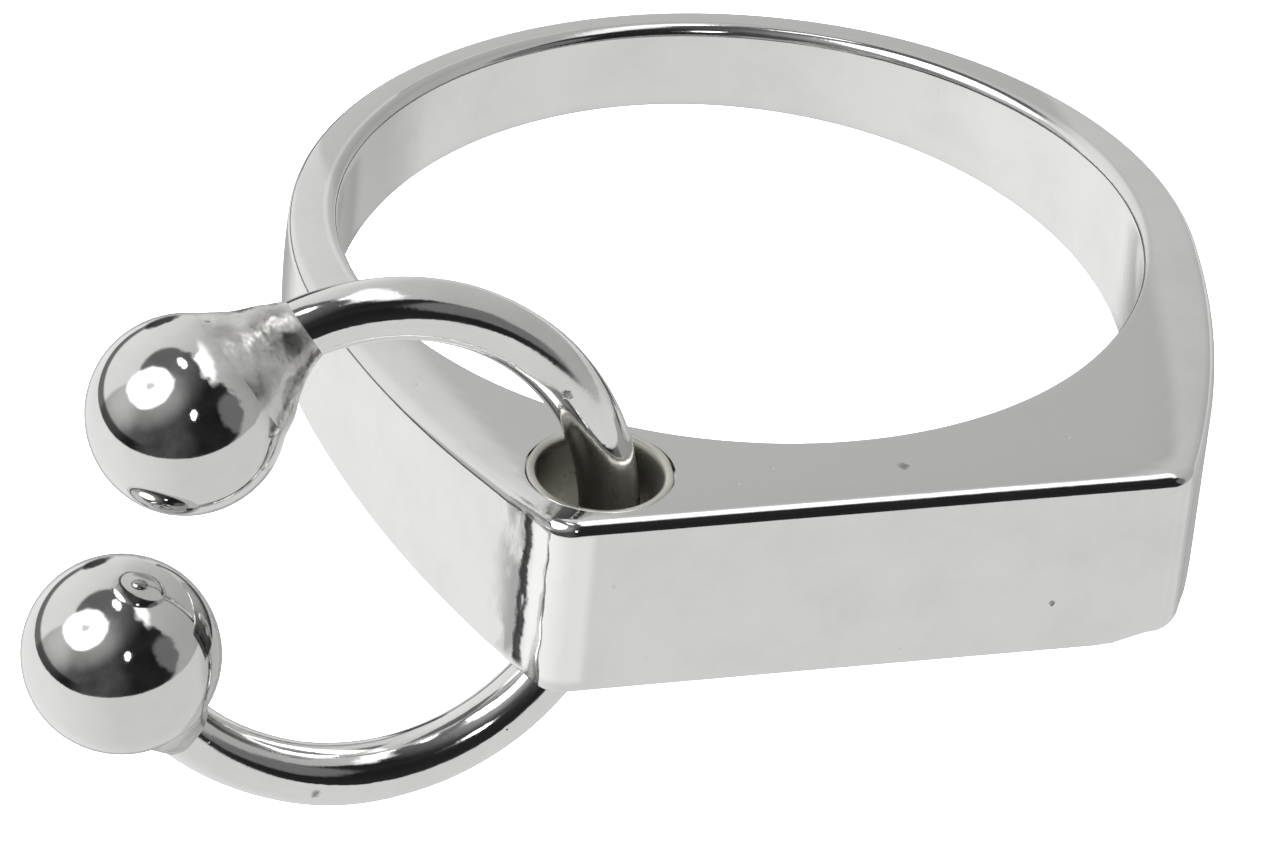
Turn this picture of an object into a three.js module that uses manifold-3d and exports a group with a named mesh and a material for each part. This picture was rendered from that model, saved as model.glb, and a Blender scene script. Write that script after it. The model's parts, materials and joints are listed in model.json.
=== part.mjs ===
// A silver finger ring: a band with a flat front bar, and an open wire hoop with a ball
// on each end, threaded through a lined hole in the left end of the bar.
//
// Millimetres. The origin is the centre of the finger hole, halfway up the band. +Z is the
// finger's axis, the flat bar lies across the front at -Y, and the hoop is at the left, -X.

import * as THREE from "three";
import { mergeVertices } from "three/addons/utils/BufferGeometryUtils.js";
import Module from "manifold-3d";

const wasm = await Module();
wasm.setup();

const rad = THREE.MathUtils.degToRad;

// Band: a round shank that runs by long side curves into the corners of the flat bar.
const fingerRadius = 8.65;
const shankRadius = 9.85;
const shankCentreY = -0.32;
const shankEndDeg = 8; // how far the round shank runs past 3 and 9 o'clock
const frontY = -11;
const frontHalfWidth = 6.73; // to the corners before they are rounded
const cornerRadius = 0.7;
const frontHeight = 4.32;
const backHeight = 1.98;
const edgeRounding = 0.2; // on the front edges, less towards the thinner back

// Corner hole, parallel to the finger hole, and the thin lining pressed into it.
const holeX = -5.44;
const holeY = -9.04;
const liningInner = 1.29;
const liningOuter = 1.38;
const lipRadius = 1.54;
const lipUnderside = 1.88; // from the band's mid-height, as lipTop is
const lipTop = 2.05;
const lipRounding = 0.05;
const seatClearance = 0.05;

// Hoop: a circle of round wire that stands almost upright through the corner hole. Places on
// it are given by their angle round it from the point inside the hole. Its lower arm opens out
// to a wider curve just before the ball.
const hoopRadius = 5.22;
const wireRadius = 0.645;
const hoopCentre = [-10.255, -9.217, 0.793];
const hoopYawDeg = 5.9;
const hoopLeanDeg = 10.3;
const openedFromDeg = -110;
const openedRadius = 6.1;

const ballRadius = 2.05;
const upperBallDeg = 137.9;
const lowerBallDeg = -163.7;

// Solder collars between the wire and each ball.
const upperCollar = { length: 1.05, ballEnd: 1.2, wireEnd: 0.77 };
const lowerCollar = { length: 0.6, ballEnd: 1.0, wireEnd: 0.74 };
const solderGap = 0.05;

// Facet counts.
const shankSteps = 56;
const sideSteps = 10;
const cornerSteps = 5;
const boreSteps = 72;
const holeSteps = 40;
const wireSides = 18;
const wireStepDeg = 6;
const ballSegments = 32;
const ballRings = 20;

const polishedSilver = new THREE.MeshStandardMaterial({
  color: 0xd3d3d2,
  roughness: 0.16,
  metalness: 1,
});
const mirrorSilver = new THREE.MeshStandardMaterial({
  color: 0xdcdcdc,
  roughness: 0.06,
  metalness: 1,
});
const dullSilver = new THREE.MeshStandardMaterial({
  color: 0xb9b6ac,
  roughness: 0.24,
  metalness: 1,
});
const solderSilver = new THREE.MeshStandardMaterial({
  color: 0xcbc9c4,
  roughness: 0.2,
  metalness: 1,
});

function mesh(name, geometry, material) {
  const part = new THREE.Mesh(geometry, material);
  part.name = name;
  return part;
}

// Points along an arc, both ends included.
function arcPoints(centreX, centreY, radius, fromRad, toRad, steps) {
  const points = [];
  for (let i = 0; i <= steps; i += 1) {
    const angle = fromRad + ((toRad - fromRad) * i) / steps;
    points.push(
      new THREE.Vector2(centreX + radius * Math.cos(angle), centreY + radius * Math.sin(angle)),
    );
  }
  return points;
}

// The radius of the side curve that leaves the shank tangentially and meets the bar's corner.
function sideCurveRadius() {
  const end = rad(shankEndDeg);
  const cornerX = frontHalfWidth;
  const cornerY = frontY - shankCentreY;
  const along = cornerX * Math.cos(end) - cornerY * Math.sin(end);
  const cornerSquared = cornerX ** 2 + cornerY ** 2;
  const extra = (shankRadius ** 2 - cornerSquared) / (2 * (along - shankRadius));
  return shankRadius + extra;
}

// The right half of the outline, from the middle of the front to the back of the shank.
function rightHalfOutline() {
  const end = rad(shankEndDeg);
  const sideRadius = sideCurveRadius();
  const sideX = -(sideRadius - shankRadius) * Math.cos(end);
  const sideY = shankCentreY + (sideRadius - shankRadius) * Math.sin(end);
  const cornerY = frontY + cornerRadius;
  const reach = sideRadius - cornerRadius;
  const cornerX = sideX + Math.sqrt(reach ** 2 - (cornerY - sideY) ** 2);
  const meetAngle = Math.atan2(cornerY - sideY, cornerX - sideX);
  return [
    ...arcPoints(cornerX, cornerY, cornerRadius, -Math.PI / 2, meetAngle, cornerSteps),
    ...arcPoints(sideX, sideY, sideRadius, meetAngle, -end, sideSteps).slice(1),
    ...arcPoints(0, shankCentreY, shankRadius, -end, Math.PI / 2, shankSteps / 2).slice(1),
  ];
}

function bandOutline() {
  const right = rightHalfOutline();
  const left = right
    .slice(0, -1)
    .reverse()
    .map((point) => new THREE.Vector2(-point.x, point.y));
  return new THREE.Shape([...right, ...left]);
}

// The band's top and bottom faces are planes that close towards the back.
function scaleToTaper(geometry) {
  const position = geometry.attributes.position;
  const depth = shankCentreY + shankRadius - frontY;
  for (let i = 0; i < position.count; i += 1) {
    const share = (position.getY(i) - frontY) / depth;
    const height = frontHeight + (backHeight - frontHeight) * share;
    position.setZ(i, (position.getZ(i) * height) / frontHeight);
  }
}

function bandBlank() {
  const shape = bandOutline();
  shape.holes.push(new THREE.Path(arcPoints(0, 0, fingerRadius, 2 * Math.PI, 0, boreSteps).slice(1)));
  const geometry = new THREE.ExtrudeGeometry(shape, {
    depth: frontHeight - 2 * edgeRounding,
    bevelSize: edgeRounding,
    bevelThickness: edgeRounding,
    bevelOffset: -edgeRounding,
    bevelSegments: 3,
  });
  geometry.translate(0, 0, edgeRounding - frontHeight / 2);
  scaleToTaper(geometry);
  return geometry;
}

function toSolid(geometry) {
  const bare = geometry.clone();
  bare.deleteAttribute("normal");
  bare.deleteAttribute("uv");
  const merged = mergeVertices(bare, 1e-5);
  return new wasm.Manifold(
    new wasm.Mesh({
      numProp: 3,
      vertProperties: new Float32Array(merged.attributes.position.array),
      triVerts: new Uint32Array(merged.index.array),
    }),
  );
}

function toGeometry(solid) {
  const result = solid.getMesh();
  const geometry = new THREE.BufferGeometry();
  geometry.setAttribute("position", new THREE.BufferAttribute(result.vertProperties, 3));
  geometry.setIndex(new THREE.BufferAttribute(result.triVerts, 1));
  geometry.computeVertexNormals();
  return geometry;
}

function lathe(profile, steps) {
  return new THREE.LatheGeometry(
    profile.map(([radius, height]) => new THREE.Vector2(radius, height)),
    steps,
  );
}

// The room for the lining: a through hole with a shallow counterbore at each face.
function liningSeat() {
  const wall = liningOuter + seatClearance;
  const lip = lipRadius + seatClearance;
  const floor = lipUnderside - seatClearance;
  const past = frontHeight;
  const seat = lathe(
    [
      [0, -past],
      [lip, -past],
      [lip, -floor],
      [wall, -floor],
      [wall, floor],
      [lip, floor],
      [lip, past],
      [0, past],
    ],
    holeSteps,
  );
  seat.rotateX(Math.PI / 2);
  seat.translate(holeX, holeY, 0);
  return seat;
}

function ringBand() {
  const solid = toSolid(bandBlank()).subtract(toSolid(liningSeat()));
  return mesh("ring_band", toGeometry(solid), polishedSilver);
}

// A thin tube whose ends are turned out into lips.
function holeEyelet() {
  const flareStart = lipUnderside - (liningOuter - liningInner);
  const upperHalf = [
    [liningInner, flareStart],
    [liningInner + lipRounding, lipTop - lipRounding],
    [liningInner + 2 * lipRounding, lipTop],
    [lipRadius - lipRounding, lipTop],
    [lipRadius, lipTop - lipRounding],
    [lipRadius, lipUnderside],
    [liningOuter, lipUnderside],
  ];
  const lowerHalf = upperHalf.map(([radius, height]) => [radius, -height]).reverse();
  const profile = [...upperHalf, ...lowerHalf, upperHalf[0]].reverse();
  const part = mesh("hole_eyelet", lathe(profile, holeSteps), dullSilver);
  part.rotation.x = Math.PI / 2;
  part.position.set(holeX, holeY, 0);
  return part;
}

// A point on the wire's centreline. Past the place where the arm opens, the angle still counts
// length along the wire, in hoop radii.
function hoopPoint(angleRad) {
  const opened = rad(openedFromDeg);
  if (angleRad >= opened) {
    return new THREE.Vector3(hoopRadius * Math.cos(angleRad), hoopRadius * Math.sin(angleRad), 0);
  }
  const offset = hoopRadius - openedRadius;
  const angle = opened + ((angleRad - opened) * hoopRadius) / openedRadius;
  return new THREE.Vector3(
    offset * Math.cos(opened) + openedRadius * Math.cos(angle),
    offset * Math.sin(opened) + openedRadius * Math.sin(angle),
    0,
  );
}

class HoopArc extends THREE.Curve {
  constructor(fromRad, toRad) {
    super();
    this.fromRad = fromRad;
    this.toRad = toRad;
  }

  getPoint(t, target = new THREE.Vector3()) {
    return target.copy(hoopPoint(this.fromRad + (this.toRad - this.fromRad) * t));
  }
}

function wireGeometry(radius, fromRad, toRad) {
  const section = new THREE.Shape(arcPoints(0, 0, radius, 0, 2 * Math.PI, wireSides).slice(1));
  return new THREE.ExtrudeGeometry(section, {
    steps: Math.ceil(Math.abs(toRad - fromRad) / rad(wireStepDeg)),
    extrudePath: new HoopArc(fromRad, toRad),
  });
}

// The angle round the hoop that a straight distance between two of its points covers.
function hoopAngle(distance) {
  return 2 * Math.asin(distance / (2 * hoopRadius));
}

function ball(name, angleDeg) {
  const part = mesh(
    name,
    new THREE.SphereGeometry(ballRadius, ballSegments, ballRings),
    mirrorSilver,
  );
  part.position.copy(hoopPoint(rad(angleDeg)));
  return part;
}

// A cone of solder round the wire, hollowed where the wire and the ball go.
function solderCollar(name, angleDeg, collar) {
  const towardsHole = -Math.sign(angleDeg);
  const ballAngle = rad(angleDeg);
  const ballCentre = hoopPoint(ballAngle);
  const middle = ballRadius + collar.length / 2;
  const axis = hoopPoint(ballAngle + towardsHole * hoopAngle(middle)).sub(ballCentre).normalize();
  const start = ballRadius * 0.7; // inside the ball, whose room is cut out below
  const startRadius = collar.ballEnd * 1.15;
  const waistRadius = (collar.ballEnd + collar.wireEnd) / 2 - solderGap;
  const waist = ballRadius + collar.length * 0.4;
  const end = ballRadius + collar.length;
  const cone = lathe(
    [
      [0, start],
      [startRadius, start],
      [collar.ballEnd, ballRadius],
      [waistRadius, waist],
      [collar.wireEnd, end],
      [0, end],
    ],
    wireSides * 2,
  );
  const turn = new THREE.Quaternion().setFromUnitVectors(new THREE.Vector3(0, 1, 0), axis);
  cone.applyQuaternion(turn);
  const ballRoom = new THREE.SphereGeometry(ballRadius + solderGap, ballSegments * 2, ballRings * 2);
  const wireRoom = wireGeometry(
    wireRadius + solderGap,
    ballAngle,
    ballAngle + towardsHole * hoopAngle(end + wireRadius),
  );
  wireRoom.translate(-ballCentre.x, -ballCentre.y, 0);
  const solid = toSolid(cone).subtract(toSolid(ballRoom)).subtract(toSolid(wireRoom));
  const part = mesh(name, toGeometry(solid), solderSilver);
  part.position.copy(ballCentre);
  return part;
}

function hoopWire() {
  const inset = hoopAngle(ballRadius + solderGap);
  const geometry = wireGeometry(
    wireRadius,
    rad(lowerBallDeg) + inset,
    rad(upperBallDeg) - inset,
  );
  return mesh("hoop_wire", geometry, polishedSilver);
}

function hoop() {
  const group = new THREE.Group();
  group.position.set(...hoopCentre);
  group.rotation.set(Math.PI / 2 - rad(hoopLeanDeg), 0, rad(hoopYawDeg), "ZYX");
  group.add(
    hoopWire(),
    ball("upper_ball", upperBallDeg),
    ball("lower_ball", lowerBallDeg),
    solderCollar("upper_solder_collar", upperBallDeg, upperCollar),
    solderCollar("lower_solder_collar", lowerBallDeg, lowerCollar),
  );
  return group;
}

const group = new THREE.Group();
group.add(ringBand(), holeEyelet(), hoop());

export default group;
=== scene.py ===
"""A polished silver finger ring with a ball-ended hoop through one end of its flat bar."""

import json
import math

import bpy
from mathutils import Matrix, Vector
from mathutils.noise import noise


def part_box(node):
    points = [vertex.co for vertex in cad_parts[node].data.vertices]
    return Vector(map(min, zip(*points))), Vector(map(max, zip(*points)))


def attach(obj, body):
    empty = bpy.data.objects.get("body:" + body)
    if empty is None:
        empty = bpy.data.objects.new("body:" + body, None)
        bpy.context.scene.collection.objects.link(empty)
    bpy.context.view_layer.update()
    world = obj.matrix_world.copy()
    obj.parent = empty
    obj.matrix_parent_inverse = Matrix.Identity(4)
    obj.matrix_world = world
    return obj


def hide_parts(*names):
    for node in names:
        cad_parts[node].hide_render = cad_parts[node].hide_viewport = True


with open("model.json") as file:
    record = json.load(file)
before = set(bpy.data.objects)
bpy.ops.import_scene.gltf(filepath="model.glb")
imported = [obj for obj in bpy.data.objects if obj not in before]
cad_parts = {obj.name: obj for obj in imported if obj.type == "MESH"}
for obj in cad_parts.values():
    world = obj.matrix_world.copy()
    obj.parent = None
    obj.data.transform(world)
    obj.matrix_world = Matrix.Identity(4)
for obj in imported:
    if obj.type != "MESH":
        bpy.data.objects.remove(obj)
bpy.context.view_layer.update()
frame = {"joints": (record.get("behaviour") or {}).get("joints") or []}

MM = 0.001
joints = {joint["name"]: joint for joint in frame["joints"]}

# ---------------------------------------------------------------- places from the frame

band_low, band_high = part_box("ring_band")
FRONT_Y = band_low.y
SHANK_RADIUS = band_high.x
SHANK_CENTRE_Y = band_high.y - SHANK_RADIUS
FRONT_HALF_HEIGHT = band_high.z
HOLE = Vector(joints["hoop_swing"]["pos_m"])
HOOP_CENTRE = Vector(joints["hoop_feed"]["pos_m"])
HOOP_AXIS = Vector(joints["hoop_feed"]["axis"]).normalized()
HOOP_OUT = Vector((-HOOP_AXIS.y, HOOP_AXIS.x, 0)).normalized()
HOOP_UP = HOOP_AXIS.cross(HOOP_OUT)


def box_centre(node):
    low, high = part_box(node)
    return (low + high) / 2


UPPER_BALL = box_centre("upper_ball")
LOWER_BALL = box_centre("lower_ball")
BALL_RADIUS = (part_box("upper_ball")[1] - UPPER_BALL).z
HOOP_RADIUS = (UPPER_BALL - HOOP_CENTRE).length

# ---------------------------------------------------------------- dimensions of the finish

FINGER_RADIUS = 8.65 * MM
FRONT_HALF_WIDTH = 6.73 * MM
CORNER_RADIUS = 0.7 * MM
SHANK_END = math.radians(8)
BACK_HALF_HEIGHT = 0.99 * MM

LINING_INNER = 1.29 * MM
LINING_OUTER = 1.38 * MM
LIP_RADIUS = 1.54 * MM
LIP_UNDERSIDE = 1.88 * MM
LIP_TOP = 2.05 * MM
SEAT_CLEARANCE = 0.015 * MM

# Rubbing has rolled the outer edge of the top face down a little, and the underside's less.
TOP_EDGE_DROP = 0.045 * MM
UNDER_EDGE_DROP = 0.01 * MM
EDGE_ROLL_WIDTH = 1.3 * MM

WIRE_RADIUS = 0.645 * MM
OPENED_FROM = math.radians(-110)
OPENED_RADIUS = 6.1 * MM


# ---------------------------------------------------------------- mesh helpers


def deselect():
    if bpy.context.object and bpy.context.object.mode != "OBJECT":
        bpy.ops.object.mode_set(mode="OBJECT")
    bpy.ops.object.select_all(action="DESELECT")


def shaped_ring(name, rows):
    """A closed ring whose vertices go to rows[i][j]: i runs round it and j round its section."""
    around = len(rows)
    section = len(rows[0])
    deselect()
    bpy.ops.mesh.primitive_torus_add(
        major_segments=around,
        minor_segments=section,
        major_radius=2,
        minor_radius=1,
    )
    ring = bpy.context.object
    ring.name = name
    ring.data.name = name
    for vertex in ring.data.vertices:
        x, y, z = vertex.co
        i = round(math.atan2(y, x) / math.tau * around) % around
        j = round(math.atan2(z, math.hypot(x, y) - 2) / math.tau * section) % section
        vertex.co = rows[i][j]
    bpy.ops.object.shade_smooth()
    return ring


def cut(piece, cutter):
    """Takes the cutter's shape out of the piece and removes the cutter."""
    deselect()
    piece.select_set(True)
    bpy.context.view_layer.objects.active = piece
    boolean = piece.modifiers.new("cut", "BOOLEAN")
    boolean.operation = "DIFFERENCE"
    boolean.solver = "EXACT"
    boolean.object = cutter
    bpy.ops.object.modifier_apply(modifier=boolean.name)
    bpy.data.objects.remove(cutter)


def smooth_by_angle(piece, degrees):
    deselect()
    piece.select_set(True)
    bpy.context.view_layer.objects.active = piece
    bpy.ops.object.shade_smooth_by_angle(angle=math.radians(degrees))


def ease(low, high, value):
    """0 below low, 1 above high, and a smooth step between them."""
    share = min(max((value - low) / (high - low), 0), 1)
    return share * share * (3 - 2 * share)


def mix(a, b, share):
    return a + (b - a) * share


# ---------------------------------------------------------------- the band


def arc(centre_x, centre_y, radius, start, end, steps):
    """Points on an arc with the direction that each faces, without the arc's last point."""
    points = []
    for i in range(steps):
        angle = mix(start, end, i / steps)
        facing = Vector((math.cos(angle), math.sin(angle), 0))
        points.append((Vector((centre_x, centre_y, 0)) + radius * facing, facing))
    return points


def side_curve_radius():
    """The side curve leaves the shank tangentially and passes through the bar's corner."""
    corner_y = FRONT_Y - SHANK_CENTRE_Y
    along = FRONT_HALF_WIDTH * math.cos(SHANK_END) - corner_y * math.sin(SHANK_END)
    corner_squared = FRONT_HALF_WIDTH**2 + corner_y**2
    extra = (SHANK_RADIUS**2 - corner_squared) / (2 * (along - SHANK_RADIUS))
    return SHANK_RADIUS + extra


def band_outline():
    """The band's outline from above, anticlockwise, as points and the way that each faces."""
    radius = side_curve_radius()
    side_x = -(radius - SHANK_RADIUS) * math.cos(SHANK_END)
    side_y = SHANK_CENTRE_Y + (radius - SHANK_RADIUS) * math.sin(SHANK_END)
    corner_y = FRONT_Y + CORNER_RADIUS
    reach = radius - CORNER_RADIUS
    corner_x = side_x + math.sqrt(reach**2 - (corner_y - side_y) ** 2)
    meet = math.atan2(corner_y - side_y, corner_x - side_x)
    half_turn = math.pi
    front_steps = 60
    front = []
    for i in range(front_steps):
        x = mix(-corner_x, corner_x, i / front_steps)
        front.append((Vector((x, FRONT_Y, 0)), Vector((0, -1, 0))))
    return [
        *arc(0, SHANK_CENTRE_Y, SHANK_RADIUS, 0, half_turn + SHANK_END, 240),
        *arc(-side_x, side_y, radius, half_turn + SHANK_END, half_turn - meet, 50),
        *arc(-corner_x, corner_y, CORNER_RADIUS, half_turn - meet, 1.5 * half_turn, 18),
        *front,
        *arc(corner_x, corner_y, CORNER_RADIUS, -0.5 * half_turn, meet, 18),
        *arc(side_x, side_y, radius, meet, -SHANK_END, 50),
        *arc(0, SHANK_CENTRE_Y, SHANK_RADIUS, -SHANK_END, 0, 10),
    ]


def half_height(y):
    """The top and bottom faces are planes that close towards the back."""
    share = (y - FRONT_Y) / (SHANK_CENTRE_Y + SHANK_RADIUS - FRONT_Y)
    return mix(FRONT_HALF_HEIGHT, BACK_HALF_HEIGHT, share)


def half_section(outer, facing, bore, edges):
    """The upper half of the band's section, from the outside's middle to the bore's middle."""
    outer_edge, bore_edge, dome, roll_drop = edges
    inward = (bore - outer).normalized()
    across = (bore - outer).length
    points = []

    def add(depth, height_below_top):
        place = outer + inward * depth
        z = half_height(place.y) - height_below_top
        points.append(Vector((place.x, place.y, z)))

    wall = half_height(outer.y) - outer_edge
    wall_steps = 14
    for i in range(wall_steps):
        z = wall * i / wall_steps
        place = outer - facing * dome * (z / wall) ** 2
        points.append(Vector((place.x, place.y, z)))
    steepness = max(inward.dot(-facing), 0.5)
    for i in range(9):
        angle = math.radians(90) * i / 8
        depth = (dome + outer_edge * (1 - math.cos(angle))) / steepness
        add(depth, roll_drop + outer_edge * (1 - math.sin(angle)))
    start = (dome + outer_edge) / steepness
    end = across - bore_edge
    for share in (0.05, 0.12, 0.2, 0.29, 0.38, 0.5, 0.64, 0.76, 0.86, 0.94):
        depth = mix(start, end, share)
        add(depth, roll_drop * max(1 - (depth - start) / EDGE_ROLL_WIDTH, 0) ** 2)
    for i in range(9):
        angle = math.radians(90) * i / 8
        depth = end + bore_edge * math.sin(angle)
        add(depth, bore_edge * (1 - math.cos(angle)))
    for i in range(1, 5):
        top = half_height(bore.y) - bore_edge
        points.append(Vector((bore.x, bore.y, top * (1 - i / 5))))
    return points


def flipped(point):
    return Vector((point.x, point.y, -point.z))


def hole_cutter():
    """The lining's seat: a through hole with a shallow counterbore at each face."""
    wall = LINING_OUTER + SEAT_CLEARANCE
    lip = LIP_RADIUS + SEAT_CLEARANCE
    floor = LIP_UNDERSIDE - SEAT_CLEARANCE
    past = 2 * FRONT_HALF_HEIGHT
    deselect()
    bpy.ops.mesh.primitive_cylinder_add(
        vertices=128, radius=lip, depth=2 * past, location=HOLE, end_fill_type="NGON"
    )
    cutter = bpy.context.object
    bpy.ops.object.transform_apply(location=True, rotation=False, scale=False)
    bpy.ops.object.mode_set(mode="EDIT")
    for height in (-floor, floor):
        bpy.ops.mesh.select_all(action="SELECT")
        bpy.ops.mesh.bisect(plane_co=HOLE + Vector((0, 0, height)), plane_no=(0, 0, 1))
    bpy.ops.object.mode_set(mode="OBJECT")
    for polygon in cutter.data.polygons:
        polygon.select = abs(polygon.center.z) < floor / 2
    bpy.ops.object.mode_set(mode="EDIT")
    bpy.ops.mesh.select_mode(type="FACE")
    bpy.ops.mesh.extrude_region_shrink_fatten(
        TRANSFORM_OT_shrink_fatten={"value": wall - lip, "use_even_offset": True}
    )
    bpy.ops.object.mode_set(mode="OBJECT")
    return cutter


def hand_finish(point, facing, outer):
    """How far filing has left a point off the true shape, most of all on the corner by the hole."""
    near_outside = ease(1.0 * MM, 0.3 * MM, (point - outer).to_2d().length)
    cornerness = ease(-0.2, -0.45, facing.x) * ease(-9.0 * MM, -9.6 * MM, outer.y) * near_outside
    streak = noise(point * (1.5 / MM))
    fine = noise(point * (3.4 / MM))
    broad = noise(point * (0.28 / MM) + Vector((3, 0, 0)))
    return (cornerness * (0.03 * streak + 0.012 * fine) + 0.006 * broad) * MM


def add_painted_face_shade(band):
    """Records where painted shade goes: the flat faces get painted shade and are darker than their
    edges.
    """
    unshaded = band.data.attributes.new("unshaded", "FLOAT", "POINT")
    for vertex, value in zip(band.data.vertices, unshaded.data):
        place = vertex.co
        around = math.hypot(place.x, place.y)
        reach = max(outline_reach(place), around)
        flat = ease(0.05 * MM, 0.0, half_height(place.y) - abs(place.z) - TOP_EDGE_DROP)
        side = ease(5 * MM, 8.5 * MM, abs(place.x)) * ease(5.5 * MM, 1.5 * MM, place.y)
        front = ease(-9 * MM, -10.5 * MM, place.y)
        width = mix(mix(0.08, 0.25, front), 1.3, side) * MM
        unshaded_edge = ease(width * 1.25, width * 0.75, reach - around)
        # Painted shade: 0 darkens the flat face, while 1, at its edges and elsewhere, leaves the tone
        # as it is.
        value.value = 1 - flat * (1 - unshaded_edge)


def outline_reach(place):
    """How far the outline is from the origin, in a place's direction."""
    angle = math.atan2(place.y, place.x) % math.tau
    return REACHES[int(angle / math.tau * len(REACHES)) % len(REACHES)]


def measure_reaches(steps=1440):
    """The outline's distance from the origin, sampled by direction."""
    points = [point for point, _ in band_outline()]
    points.append(points[0])
    reaches = [0.0] * steps
    for a, b in zip(points, points[1:]):
        fine = 24
        for i in range(fine):
            place = a.lerp(b, i / fine)
            angle = math.atan2(place.y, place.x) % math.tau
            reaches[int(angle / math.tau * steps) % steps] = place.length
    return reaches


REACHES = measure_reaches()


def make_band():
    rows = []
    for outer, facing in band_outline():
        bore = Vector((outer.x, outer.y, 0)).normalized() * FINGER_RADIUS
        backness = ease(-7 * MM, 6 * MM, outer.y)
        cornerness = ease(5.2 * MM, 6.5 * MM, outer.x) * ease(-9.4 * MM, -10.5 * MM, outer.y)
        bore_backness = ease(-6 * MM, 3 * MM, outer.y)
        above = (mix(0.31, 0.12, backness) * MM, mix(0.06, 0.28, bore_backness) * MM)
        below = (mix(mix(0.13, 0.6, cornerness), 0.12, backness) * MM, 0.08 * MM)
        dome = mix(0.0, 0.05, backness) * MM
        upper = half_section(outer, facing, bore, (*above, dome, TOP_EDGE_DROP))
        under = half_section(outer, facing, bore, (*below, dome, UNDER_EDGE_DROP))
        lower = [flipped(point) for point in under]
        middle = Vector((bore.x, bore.y, 0))
        row = [*upper, middle, *reversed(lower[1:])]
        rows.append([point + facing * hand_finish(point, facing, outer) for point in row])
    band = shaped_ring("band", rows)
    add_painted_face_shade(band)
    cut(band, hole_cutter())
    crease_angle = 35
    smooth_by_angle(band, crease_angle)
    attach(band, "band")
    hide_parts("ring_band")
    return band


# ---------------------------------------------------------------- the hole's lining


def make_lining():
    flare_start = LIP_UNDERSIDE - (LINING_OUTER - LINING_INNER)
    lip = LIP_RADIUS
    upper = [
        (LINING_OUTER, 0.0),
        (LINING_OUTER, LIP_UNDERSIDE),
        (lip - 0.015 * MM, LIP_UNDERSIDE),
        (lip, LIP_UNDERSIDE + 0.02 * MM),
        (lip, LIP_TOP - 0.07 * MM),
        (lip - 0.02 * MM, LIP_TOP - 0.02 * MM),
        (lip - 0.06 * MM, LIP_TOP),
        (LINING_INNER + 0.13 * MM, LIP_TOP),
        (LINING_INNER + 0.08 * MM, LIP_TOP - 0.015 * MM),
        (LINING_INNER + 0.04 * MM, LIP_TOP - 0.05 * MM),
        (LINING_INNER + 0.015 * MM, mix(flare_start, LIP_TOP, 0.5)),
        (LINING_INNER, flare_start),
        (LINING_INNER, flare_start / 2),
    ]
    lower = [(radius, -height) for radius, height in reversed(upper[1:])]
    profile = [*upper, (LINING_INNER, 0.0), *lower]
    rows = []
    around = 144
    for i in range(around):
        angle = math.tau * i / around
        facing = Vector((math.cos(angle), math.sin(angle), 0))
        row = []
        for radius, height in profile:
            lipness = ease(LINING_OUTER, LIP_RADIUS, radius)
            wobble = 0.03 * MM * lipness * (noise(facing * 2.5 + Vector((0, 0, height / MM))) - 0.3)
            row.append(HOLE + facing * (radius + min(wobble, 0)) + Vector((0, 0, height)))
        rows.append(row)
    lining = shaped_ring("hole_lining", rows)
    smooth_by_angle(lining, 50)
    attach(lining, "eyelet")
    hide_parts("hole_eyelet")
    return lining


# ---------------------------------------------------------------- the hoop


def in_plane(angle):
    """The direction in the hoop's plane at an angle from the point inside the corner hole."""
    return HOOP_OUT * math.cos(angle) + HOOP_UP * math.sin(angle)


OPENED_CENTRE = HOOP_CENTRE + in_plane(OPENED_FROM) * (HOOP_RADIUS - OPENED_RADIUS)


def plane_angle(place, centre):
    arm = place - centre
    return math.atan2(arm.dot(HOOP_UP), arm.dot(HOOP_OUT))


def hoop_point(angle):
    """A place on the wire's centreline; past the opened part the angle still counts length."""
    if angle >= OPENED_FROM:
        return HOOP_CENTRE + in_plane(angle) * HOOP_RADIUS
    turned = OPENED_FROM + (angle - OPENED_FROM) * HOOP_RADIUS / OPENED_RADIUS
    return OPENED_CENTRE + in_plane(turned) * OPENED_RADIUS


def nearest_on_hoop(place):
    angle = plane_angle(place, HOOP_CENTRE)
    if angle >= OPENED_FROM:
        return HOOP_CENTRE + in_plane(angle) * HOOP_RADIUS
    return OPENED_CENTRE + in_plane(plane_angle(place, OPENED_CENTRE)) * OPENED_RADIUS


UPPER_ANGLE = plane_angle(UPPER_BALL, HOOP_CENTRE)
LOWER_TURN = plane_angle(LOWER_BALL, OPENED_CENTRE)
LOWER_ANGLE = OPENED_FROM + (LOWER_TURN - OPENED_FROM) * OPENED_RADIUS / HOOP_RADIUS


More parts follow.
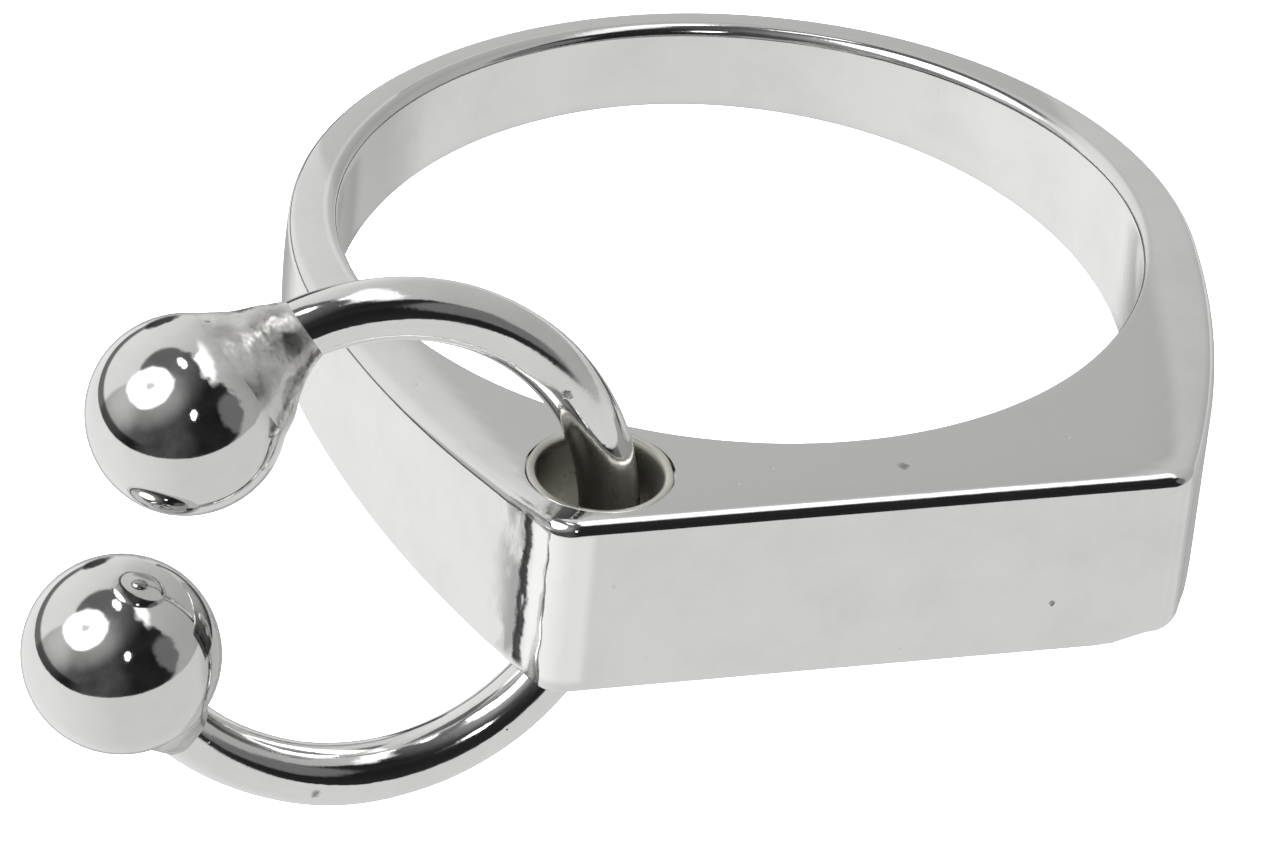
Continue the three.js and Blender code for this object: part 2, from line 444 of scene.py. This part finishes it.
def make_wire():
    """A round section spun from inside one ball to inside the other, with hand-bent waves."""
    inset = BALL_RADIUS * 0.8
    start_angle = UPPER_ANGLE - inset / HOOP_RADIUS
    start = hoop_point(start_angle)
    along = HOOP_AXIS.cross(start - HOOP_CENTRE).normalized()
    deselect()
    bpy.ops.mesh.primitive_circle_add(
        vertices=48,
        radius=WIRE_RADIUS,
        fill_type="NGON",
        location=start,
        rotation=along.to_track_quat("Z", "Y").to_euler(),
    )
    wire = bpy.context.object
    wire.name = "wire_hoop"
    wire.data.name = wire.name
    bpy.ops.object.transform_apply(location=True, rotation=True, scale=True)
    bpy.ops.object.mode_set(mode="EDIT")
    bpy.ops.mesh.select_all(action="SELECT")
    opened_turn = OPENED_FROM - LOWER_TURN - inset / OPENED_RADIUS
    bpy.ops.mesh.spin(
        steps=160, angle=start_angle - OPENED_FROM, center=HOOP_CENTRE, axis=HOOP_AXIS
    )
    bpy.ops.mesh.spin(steps=24, angle=opened_turn, center=OPENED_CENTRE, axis=HOOP_AXIS)
    bpy.ops.mesh.select_all(action="SELECT")
    bpy.ops.mesh.normals_make_consistent(inside=False)
    bpy.ops.object.mode_set(mode="OBJECT")
    for vertex in wire.data.vertices:
        centre = nearest_on_hoop(vertex.co)
        around = vertex.co - centre
        wave = noise(centre * (0.35 / MM)) * 0.018 + noise(vertex.co * (0.8 / MM)) * 0.012
        vertex.co = centre + around * (1 + wave)
    smooth_by_angle(wire, 60)
    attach(wire, "hoop")
    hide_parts("hoop_wire")
    return wire


def make_ball(name, centre, seed, node):
    """A mirror-polished ball, a touch out of round as a hand-melted one is."""
    deselect()
    bpy.ops.mesh.primitive_uv_sphere_add(
        segments=128, ring_count=72, radius=BALL_RADIUS, location=centre
    )
    ball = bpy.context.object
    ball.name = name
    ball.data.name = name
    bpy.ops.object.transform_apply(location=True, rotation=False, scale=False)
    for vertex in ball.data.vertices:
        facing = (vertex.co - centre).normalized()
        swell = noise(facing * 1.3 + Vector((seed, 0, 0))) * 0.006 - 0.004
        vertex.co = centre + facing * BALL_RADIUS * (1 + min(swell, 0))
    bpy.ops.object.shade_smooth()
    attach(ball, "hoop")
    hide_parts(node)
    return ball


def curve_through(points, steps):
    """A smooth curve through a few (along, radius) points, in millimetres, as that many steps."""
    places = [points[0], *points, points[-1]]
    curve = []
    for step in range(steps + 1):
        at = (len(points) - 1) * step / steps
        i = min(int(at), len(points) - 2)
        t = at - i
        a, b, c, d = (Vector(place) for place in places[i : i + 4])
        place = b * 2 + (c - a) * t + (a * 2 - b * 5 + c * 4 - d) * t**2
        place = (place + (b * 3 - a - c * 3 + d) * t**3) * 0.5
        curve.append(place * MM)
    return curve


# Solder outlines, from the wire to the ball: the distance from the ball's centre and the
# solder's radius there, on the hoop's outer and inner sides, in millimetres.
UPPER_SOLDER_OUTER = [
    (2.85, 0.61),
    (2.66, 0.69),
    (2.45, 0.76),
    (2.2, 0.86),
    (1.95, 1.0),
    (1.65, 1.24),
    (1.4, 1.475),
]
UPPER_SOLDER_INNER = [
    (3.2, 0.6),
    (2.95, 0.72),
    (2.66, 0.87),
    (2.4, 1.0),
    (2.0, 1.27),
    (1.5, 1.59),
    (1.0, 1.77),
]
LOWER_SOLDER = [(2.42, 0.6), (2.26, 0.67), (2.06, 0.78), (1.9, 0.9), (1.74, 1.05)]


def solder_frame(ball, ball_angle, along, wireness):
    """The wire's centre at a distance from the ball's, the sleeve's axis, and its upright."""
    towards_hole = -math.copysign(1, ball_angle)
    turn = towards_hole * 2 * math.asin(along / (2 * HOOP_RADIUS))
    centre = hoop_point(ball_angle + turn)
    ahead = hoop_point(ball_angle + turn * 1.01)
    straight = (centre - ball).normalized()
    axis = straight.lerp((ahead - centre).normalized(), wireness).normalized()
    return centre, axis.cross(HOOP_AXIS) * towards_hole


def solder_outline(outer_side, inner_side, angle):
    """The sleeve's outline at an angle round the wire, closed inside the ball and the wire."""
    inner = WIRE_RADIUS * 0.7
    fullness = (0.5 - 0.5 * math.cos(angle)) ** 1.3
    outline = [a.lerp(b, fullness) for a, b in zip(outer_side, inner_side)]
    last_along, last_radius = outline[-1]
    buried_along = last_along - 0.15 * MM
    buried = [(buried_along, last_radius - 0.06 * MM), (buried_along, inner)]
    return [*outline, *buried, (outline[0].x, inner)]


def make_solder(name, ball, ball_angle, outlines, lump, node):
    """A sleeve of solder round the wire that runs out onto the ball, fuller on one side."""
    steps = 40
    outer_side, inner_side = (curve_through(outline, steps) for outline in outlines)
    rows = []
    around = 120
    for i in range(around):
        angle = math.tau * i / around
        outline = solder_outline(outer_side, inner_side, angle)
        ball_end = outline[steps][0]
        wire_end = outline[0][0]
        row = []
        for j, (along, radius) in enumerate(outline):
            wireness = ease(ball_end, wire_end, along)
            centre, upright = solder_frame(ball, ball_angle, along, wireness)
            side = upright * math.cos(angle) + HOOP_AXIS * math.sin(angle)
            place = centre + side * radius
            rough = noise(place * (1.3 / MM)) * 0.7 + noise(place * (3.1 / MM)) * 0.45
            middle = math.sin(math.pi * min(j / steps, 1)) * ease(2.8 * MM, 2.3 * MM, along)
            row.append(place + side * lump * rough * middle)
        rows.append(row)
    solder = shaped_ring(name, rows)
    deselect()
    solder.select_set(True)
    bpy.context.view_layer.objects.active = solder
    bpy.ops.object.mode_set(mode="EDIT")
    bpy.ops.mesh.select_all(action="SELECT")
    bpy.ops.mesh.normals_make_consistent(inside=False)
    bpy.ops.object.mode_set(mode="OBJECT")
    smooth_by_angle(solder, 60)
    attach(solder, "hoop")
    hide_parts(node)
    return solder


# ---------------------------------------------------------------- shader expressions


class Value:
    """A socket in a node tree. Arithmetic on it adds Math nodes to the tree."""

    def __init__(self, tree, socket):
        self.tree = tree
        self.socket = socket

    def node(self, kind, settings, inputs, output=0):
        return add_node(self.tree, kind, settings, inputs, output)

    def math(self, operation, first, second):
        return self.node("ShaderNodeMath", {"operation": operation}, {0: first, 1: second})

    def __add__(self, other):
        return self.math("ADD", self, other)

    __radd__ = __add__

    def __sub__(self, other):
        return self.math("SUBTRACT", self, other)

    def __rsub__(self, other):
        return self.math("SUBTRACT", other, self)

    def __mul__(self, other):
        return self.math("MULTIPLY", self, other)

    __rmul__ = __mul__

    def __truediv__(self, other):
        return self.math("DIVIDE", self, other)

    def __abs__(self):
        return self.math("ABSOLUTE", self, 0.0)

    def step(self, low, high):
        """0 below low, 1 above high, smooth between; with low above high it falls instead."""
        return self.node(
            "ShaderNodeMapRange",
            {"interpolation_type": "SMOOTHSTEP", "clamp": True},
            {"Value": self, "From Min": low, "From Max": high},
        )

    def dot(self, direction):
        return self.node(
            "ShaderNodeVectorMath", {"operation": "DOT_PRODUCT"}, {0: self, 1: direction}, "Value"
        )


def add_node(tree, kind, settings, inputs, output=0):
    node = tree.nodes.new(kind)
    for name, value in settings.items():
        setattr(node, name, value)
    for name, value in inputs.items():
        if isinstance(value, Value):
            tree.links.new(value.socket, node.inputs[name])
        else:
            node.inputs[name].default_value = value
    return Value(tree, node.outputs[output])


def blend_colours(tree, factor, first, second):
    return add_node(
        tree, "ShaderNodeMix", {"data_type": "RGBA"}, {0: factor, 6: first, 7: second}, 2
    )


def millimetres(tree):
    """The place on the object, in millimetres."""
    place = add_node(tree, "ShaderNodeTexCoord", {}, {}, "Object")
    return add_node(
        tree, "ShaderNodeVectorMath", {"operation": "SCALE"}, {0: place, "Scale": 1 / MM}
    )


def fine_noise(place, scale, detail=4.0, roughness=0.55):
    return place.node(
        "ShaderNodeTexNoise",
        {},
        {"Vector": place, "Scale": scale, "Detail": detail, "Roughness": roughness},
    )


def pits(place, scale, size, share):
    """Small round pits, in a share of a Voronoi pattern's cells."""
    cells = {"feature": "F1"}
    distance = place.node("ShaderNodeTexVoronoi", cells, {"Vector": place, "Scale": scale}, "Distance")
    colour = place.node("ShaderNodeTexVoronoi", cells, {"Vector": place, "Scale": scale}, "Color")
    chosen = colour.dot((1.0, 0.0, 0.0)).step(1 - share, 1 - share + 0.01)
    return (1 - distance.step(0.0, size)) * chosen


def nick(place, centre, size):
    """A small dent at one place, ragged at its rim."""
    away = place.node(
        "ShaderNodeVectorMath", {"operation": "DISTANCE"}, {0: place, 1: centre}, "Value"
    )
    ragged = away + (fine_noise(place, 9.0, 3.0) - 0.5) * size * 1.2
    return 1 - ragged.step(size * 0.3, size)


# ---------------------------------------------------------------- silver


DENT_DARK = (0.18, 0.18, 0.18, 1)
# Colours painted on the corner by the hole: a painted highlight, grey streaks of painted dark
# reflection, and a painted dark reflection line.
PAINTED_HIGHLIGHT = (0.94, 0.94, 0.93, 1)
PAINTED_GREY_STREAKS = (0.30, 0.30, 0.295, 1)
PAINTED_DARK_REFLECTION = (0.04, 0.04, 0.04, 1)
SOLDER_LIGHT = (0.74, 0.735, 0.72, 1)
SOLDER_DARK = (0.40, 0.395, 0.38, 1)
SOLDER_PIT = (0.12, 0.115, 0.11, 1)
MIRROR_LIGHT = (0.76, 0.76, 0.755, 1)
MIRROR_DARK = (0.70, 0.70, 0.695, 1)
# The painted dark reflection line down the corner by the hole lies on this y, in millimetres.
DARK_REFLECTION_LINE_Y = -10.12


def painted_corner_reflections(place):
    """Painted reflections on the corner by the hole: a painted dark reflection line, grey streaks of
    painted dark reflection, and a painted highlight along its front edge.
    """
    x = place.dot((1.0, 0.0, 0.0))
    y = place.dot((0.0, 1.0, 0.0))
    below_top = 1 - abs(place.dot((0.0, 0.0, 1.0))).step(1.75, 1.95)
    drawn = place.node(
        "ShaderNodeVectorMath", {"operation": "MULTIPLY"}, {0: place, 1: (1.0, 1.0, 0.4)}
    )
    ragged = fine_noise(place, 1.3, 5.0, 0.65) - 0.5
    flecks = fine_noise(drawn, 2.4, 3.0, 0.5)
    across = y + ragged * 0.45
    left_end = (x * -1).step(5.9, 6.15) * below_top
    dark_reflection_line = (1 - abs(across - DARK_REFLECTION_LINE_Y).step(0.07, 0.16)) * left_end * flecks.step(0.3, 0.42)
    dark_reflection_streaks = (1 - across.step(-9.9, -9.1)) * across.step(-10.24, -10.1) * left_end
    dark_reflection_streaks = dark_reflection_streaks * flecks.step(0.3, 0.55)
    highlight_edge = (1 - y.step(-10.4, -10.2)) * left_end
    return dark_reflection_line, dark_reflection_streaks, highlight_edge


def new_finish(name):
    material = bpy.data.materials.new(name)
    material.use_nodes = True
    return material


def make_metal(tree, colour, gloss, height, relief):
    """Feeds a metal's colour, roughness and relief, in millimetres, to the tree's shader."""
    bump = add_node(
        tree, "ShaderNodeBump", {}, {"Strength": 1.0, "Distance": relief * MM, "Height": height}
    )
    shader = tree.nodes["Principled BSDF"]
    shader.inputs["Metallic"].default_value = 1.0
    tree.links.new(colour.socket, shader.inputs["Base Color"])
    tree.links.new(gloss.socket, shader.inputs["Roughness"])
    tree.links.new(bump.socket, shader.inputs["Normal"])


def paint_shade_on_flat_faces(tree, colour, light, face_shade):
    """Paints shade on the band's flat faces: darkens them where the band's painted-shade attribute is
    low.
    """
    unshaded = add_node(tree, "ShaderNodeAttribute", {"attribute_name": "unshaded"}, {}, "Fac")
    shaded_tone = tuple(channel * face_shade for channel in light)
    return blend_colours(tree, unshaded, (*shaded_tone, 1), colour)


def silver(name, tones, roughness, clouding, pitting, relief, nicks=(), face_shade=1.0):
    """Polished silver: cloudy tone and gloss, fine grain, small casting pits and a few nicks.

    With the face shade factor under 1 it is the band's silver, with painted shade on its flat faces
    and, on the corner by the hole, a painted highlight, rougher grey streaks of painted dark
    reflection and a painted dark reflection line.
    """
    material = new_finish(name)
    tree = material.node_tree
    place = millimetres(tree)
    clouds = fine_noise(place, 0.55, 5.0, 0.6).step(0.3, 0.7)
    grain = fine_noise(place, 6.0, 3.0)
    holes = pits(place, 1.1, 0.07, 0.25) * pitting
    dents = [nick(place, centre, size) for centre, size in nicks]
    for dent in dents:
        holes = holes + dent
    light, dark = tones
    tone = (clouds * 0.6 + grain * 0.25 + holes * 1.6).step(0.0, 1.6)
    colour = blend_colours(tree, tone, (*light, 1), (*dark, 1))
    if face_shade < 1:
        # Painted shade on the band's flat faces, then on the corner by the hole a painted highlight,
        # grey streaks of painted dark reflection and a painted dark reflection line.
        colour = paint_shade_on_flat_faces(tree, colour, light, face_shade)
        dark_reflection_line, dark_reflection_streaks, highlight_edge = painted_corner_reflections(place)
        colour = blend_colours(tree, highlight_edge, colour, PAINTED_HIGHLIGHT)
        colour = blend_colours(tree, dark_reflection_streaks * 0.8, colour, PAINTED_GREY_STREAKS)
        colour = blend_colours(tree, dark_reflection_line, colour, PAINTED_DARK_REFLECTION)
        holes = holes + dark_reflection_line * 0.5 + dark_reflection_streaks * 0.8
    for dent in dents:
        colour = blend_colours(tree, dent * 0.7, colour, DENT_DARK)
    gloss = roughness + clouds * clouding + holes * 0.15
    height = grain * 0.12 + clouds * 0.5 - holes * 3.0
    make_metal(tree, colour, gloss, height, relief)
    return material


def hole_silver():
    """The lining's duller, slightly warm silver, which scatters light about inside the hole."""
    material = silver("lining_silver", ((0.60, 0.59, 0.54), (0.4, 0.39, 0.35)), 0.24, 0.1, 0.5, 0.01)
    material.node_tree.nodes["Principled BSDF"].inputs["Metallic"].default_value = 0.95
    return material


def soldered_silver(name, joint, reach):
    """Mirror silver that turns grey, softer and lumpy towards a soldered joint."""
    material = new_finish(name)
    tree = material.node_tree
    place = millimetres(tree)
    away = place.node(
        "ShaderNodeVectorMath", {"operation": "DISTANCE"}, {0: place, 1: joint / MM}, "Value"
    )
    clouds = fine_noise(place, 0.55, 5.0, 0.6)
    lumps = fine_noise(place, 1.25, 3.0, 0.5)
    soldered = 1 - (away + (lumps - 0.5) * 0.8).step(reach * 0.65, reach * 1.1)
    holes = pits(place, 2.4, 0.2, 0.16) * soldered
    mirror = blend_colours(tree, clouds, MIRROR_LIGHT, MIRROR_DARK)
    grey = blend_colours(tree, lumps.step(0.3, 0.7), SOLDER_LIGHT, SOLDER_DARK)
    grey = blend_colours(tree, holes, grey, SOLDER_PIT)
    colour = blend_colours(tree, soldered, mirror, grey)
    gloss = 0.05 + clouds * 0.02 + soldered * 0.2
    height = clouds * 0.06 + soldered * (lumps - holes * 0.8)
    make_metal(tree, colour, gloss, height, 0.07)
    return material


def finish(piece, material):
    piece.data.materials.clear()
    piece.data.materials.append(material)


# ---------------------------------------------------------------- the studio

VIEW_RIGHT = Vector((0.96625, -0.24454, 0.08102))
VIEW_UP = Vector((0.07700, 0.57428, 0.81505))
TO_VIEWER = Vector((-0.24584, -0.78129, 0.57372))
TABLE_UP = Vector((-0.18, -0.08, 0.98)).normalized()


def oval(x, y, centre, size, turn=0.0, softness=0.25):
    """1 inside an oval on the mirror-ball chart, falling to 0 across its soft edge."""
    cosine = math.cos(turn)
    sine = math.sin(turn)
    across = ((x - centre[0]) * cosine + (y - centre[1]) * sine) / size[0]
    upwards = ((y - centre[1]) * cosine - (x - centre[0]) * sine) / size[1]
    distance = across * across + upwards * upwards
    return 1 - distance.step(1 - softness, 1 + softness)


def wall_tone(x, y, mottle):
    """Pale walls, brightest at the upper left and darker to the right."""
    walls = 0.58 + 0.34 * (x * -0.8 + y * 0.5).step(0.05, 0.75)
    walls = walls - 0.10 * (x - y * 0.3).step(0.1, 0.6) - 0.16 * x.step(0.72, 0.9)
    walls = walls - 0.03 * oval(x, y, (0.13, 0.86), (0.13, 0.17), 0.0, 0.7)
    return walls * (0.94 + mottle * 0.12)


def dark_room(x, y):
    """Where the dark room around the viewer shows: an oval with a narrower one on top."""
    room = oval(x, y, (-0.12, -0.05), (0.71, 0.43), 0.0, 0.10)
    room_top = oval(x, y, (-0.14, 0.33), (0.31, 0.31), 0.3, 0.15)
    return (room + room_top).step(0.0, 1.0)


def room_tone(x, y, mottle):
    """The dark room's own tone, with soft glows at its sides and round the window."""
    left_glow = oval(x, y, (-0.74, 0.16), (0.26, 0.36), 0.0, 0.9) * 0.34
    right_glow = oval(x, y, (0.50, 0.0), (0.13, 0.2), 0.5, 0.4) * 0.16
    window_glow = oval(x, y, (-0.36, 0.14), (0.34, 0.24), 0.2, 0.9) * 0.26
    upper_glow = oval(x, y, (-0.2, 0.4), (0.36, 0.34), 0.0, 0.8) * 0.09
    tone = (0.018 + 0.06 * (x * -1).step(-0.2, 0.1)) * (0.1 + mottle * 1.9)
    return tone + left_glow + right_glow + window_glow + upper_glow


def lights_seen(x, y):
    """A curtained window, three lamps and a pale strip."""
    strip = oval(x, y, (0.2, 0.49), (0.055, 0.22), 0.45, 0.6)
    window = oval(x, y, (-0.33, 0.25), (0.22, 0.175), 0.5, 0.4)
    curtain = oval(x, y, (-0.33, 0.27), (0.055, 0.045), 0.0, 0.9)
    lamp = oval(x, y, (0.105, -0.01), (0.032, 0.05), -0.2, 0.3)
    small_lamp = oval(x, y, (0.14, 0.56), (0.04, 0.035), 0.0, 0.4)
    long_lamp = oval(x, y, (-0.03, 0.49), (0.06, 0.03), -0.9, 0.4)
    lamps = lamp * 5.0 + small_lamp * 4.0 + long_lamp * 3.0
    return strip * 0.9 + window * (4.0 - curtain * 3.6) + lamps


def add_table(radiance, x, height, mottle):
    """Lays the pale table over whatever is low, with a dark skirting above its left part."""
    table = (0.77 + 0.20 * (x * -1).step(-0.1, 0.8)) * (1 - 0.27 * x.step(0.76, 0.88))
    on_table = 1 - height.step(-0.150, -0.135)
    skirting = (1 - height.step(0.0, 0.06)) * (1 - on_table) * (x * -1).step(0.3, 0.52)
    radiance = radiance * (1 - skirting * 0.8)
    return radiance * (1 - on_table) + table * (0.95 + mottle * 0.1) * on_table


def make_surroundings():
    """What the silver reflects, laid out as it would show on a mirror ball seen by the camera."""
    world = bpy.data.worlds.new("studio")
    bpy.context.scene.world = world
    world.use_nodes = True
    tree = world.node_tree
    tree.nodes.clear()
    direction = add_node(tree, "ShaderNodeTexCoord", {}, {}, "Generated")
    halfway = add_node(
        tree, "ShaderNodeVectorMath", {"operation": "ADD"}, {0: direction, 1: TO_VIEWER}
    )
    facing = add_node(tree, "ShaderNodeVectorMath", {"operation": "NORMALIZE"}, {0: halfway})
    wobble = (fine_noise(facing, 8.0, 3.0) - 0.5) * 0.07
    x = facing.dot(VIEW_RIGHT) + wobble
    y = facing.dot(VIEW_UP) + wobble
    mottle = fine_noise(facing, 5.0, 4.0)

    dark = dark_room(x, y)
    radiance = wall_tone(x, y, mottle) * (1 - dark) + room_tone(x, y, mottle) * dark
    radiance = add_table(radiance + lights_seen(x, y), x, direction.dot(TABLE_UP), mottle)
    beam = oval(x, y, (-0.33, 0.875), (0.14, 0.035), 0.4, 0.5)
    rim = (x * x + y * y).step(0.94, 0.985) * (x * 1.0 + y * 0.4).step(-0.5, 0.0)
    radiance = radiance * (1 - beam * 0.92) * (1 - rim * 0.55)
    behind = (direction.dot(TO_VIEWER) * -1).step(0.86, 0.98)
    radiance = radiance * (1 - behind) + behind * 0.45

    seen = add_node(
        tree, "ShaderNodeBackground", {}, {"Color": (1.0, 1.0, 0.992, 1), "Strength": radiance}
    )
    plain = add_node(tree, "ShaderNodeBackground", {}, {"Color": (0.96, 0.96, 0.96, 1)})
    straight = add_node(tree, "ShaderNodeLightPath", {}, {}, "Is Camera Ray")
    both = add_node(tree, "ShaderNodeMixShader", {}, {0: straight, 1: seen, 2: plain})
    output = tree.nodes.new("ShaderNodeOutputWorld")
    tree.links.new(both.socket, output.inputs["Surface"])


def make_floor():
    """A pale floor under the ring, tilted as the table is to a ring that lies on its hoop."""
    deselect()
    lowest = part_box("hoop_wire")[0].z
    bpy.ops.mesh.primitive_plane_add(
        size=1.6,
        location=(0, 0, lowest - 3.2 * MM),
        rotation=TABLE_UP.to_track_quat("Z", "Y").to_euler(),
    )
    floor = bpy.context.object
    floor.name = "floor"
    floor.visible_glossy = False
    material = new_finish("pale_floor")
    shader = material.node_tree.nodes["Principled BSDF"]
    shader.inputs["Base Color"].default_value = (0.93, 0.93, 0.93, 1)
    shader.inputs["Roughness"].default_value = 0.9
    shader.inputs["Specular IOR Level"].default_value = 0.0
    finish(floor, material)


def make_light(name, place, size, power):
    """A large soft lamp over the floor; the silver's reflections come from the surroundings."""
    light = bpy.data.lights.new(name, "AREA")
    light.shape = "DISK"
    light.size = size
    light.energy = power
    lamp = bpy.data.objects.new(name, light)
    lamp.location = place
    lamp.rotation_euler = (-Vector(place)).to_track_quat("-Z", "Y").to_euler()
    lamp.visible_glossy = False
    bpy.context.scene.collection.objects.link(lamp)


CAMERA_PLACE = Vector((-46.160, -140.784, 99.802)) * MM
SENSOR_WIDTH = 36
LENS_LENGTH = 233.24


def make_camera():
    camera = bpy.data.cameras.new("camera")
    camera.sensor_width = SENSOR_WIDTH
    camera.lens = LENS_LENGTH
    camera.clip_start = 0.005
    camera.clip_end = 10
    holder = bpy.data.objects.new("camera", camera)
    x_axis = VIEW_RIGHT.normalized()
    z_axis = TO_VIEWER.normalized()
    y_axis = z_axis.cross(x_axis).normalized()
    turn = Matrix((x_axis, y_axis, z_axis)).transposed().to_4x4()
    holder.matrix_world = Matrix.Translation(CAMERA_PLACE) @ turn
    bpy.context.scene.collection.objects.link(holder)
    bpy.context.scene.camera = holder


# ---------------------------------------------------------------- the whole scene

make_camera()
make_surroundings()
make_floor()
make_light("overhead", (-0.15, 0.1, 0.5), 0.5, 9.0)

TOP_NICK = ((0.84, -9.79, 2.05), 0.17)
FRONT_NICK = ((3.98, -11.0, -0.85), 0.09)
WIRE_NICK = ((-6.22, -8.77, 3.88), 0.16)
LOW_WIRE_NICK = ((-11.43, -10.87, -4.22), 0.13)

band_silver = silver(
    "band_silver",
    ((0.80, 0.80, 0.795), (0.70, 0.70, 0.695)),
    roughness=0.08,
    clouding=0.05,
    pitting=0.6,
    relief=0.005,
    nicks=(TOP_NICK, FRONT_NICK),
    # Painted shade darkens the band's flat faces to this share of their light tone.
    face_shade=0.78,
)
wire_silver = silver(
    "wire_silver",
    ((0.80, 0.80, 0.795), (0.70, 0.70, 0.695)),
    roughness=0.06,
    clouding=0.06,
    pitting=0.5,
    relief=0.006,
    nicks=(WIRE_NICK, LOW_WIRE_NICK),
)
finish(make_band(), band_silver)
finish(make_lining(), hole_silver())
finish(make_wire(), wire_silver)
upper_joint = hoop_point(UPPER_ANGLE - 2.2 * MM / HOOP_RADIUS)
lower_joint = hoop_point(LOWER_ANGLE + 2.1 * MM / HOOP_RADIUS)
upper_silver = soldered_silver("upper_ball_silver", upper_joint, 2.1)
lower_silver = soldered_silver("lower_ball_silver", lower_joint, 1.15)
finish(make_ball("ball_upper", UPPER_BALL, 1.0, "upper_ball"), upper_silver)
finish(make_ball("ball_lower", LOWER_BALL, 7.0, "lower_ball"), lower_silver)
upper_outlines = (UPPER_SOLDER_OUTER, UPPER_SOLDER_INNER)
lower_outlines = (LOWER_SOLDER, LOWER_SOLDER)
upper_solder = make_solder(
    "solder_upper", UPPER_BALL, UPPER_ANGLE, upper_outlines, 0.07 * MM, "upper_solder_collar"
)
lower_solder = make_solder(
    "solder_lower", LOWER_BALL, LOWER_ANGLE, lower_outlines, 0.03 * MM, "lower_solder_collar"
)
finish(upper_solder, upper_silver)
finish(lower_solder, lower_silver)

scene = bpy.context.scene
scene.view_settings.view_transform = "Standard"

bpy.context.view_layer.update()
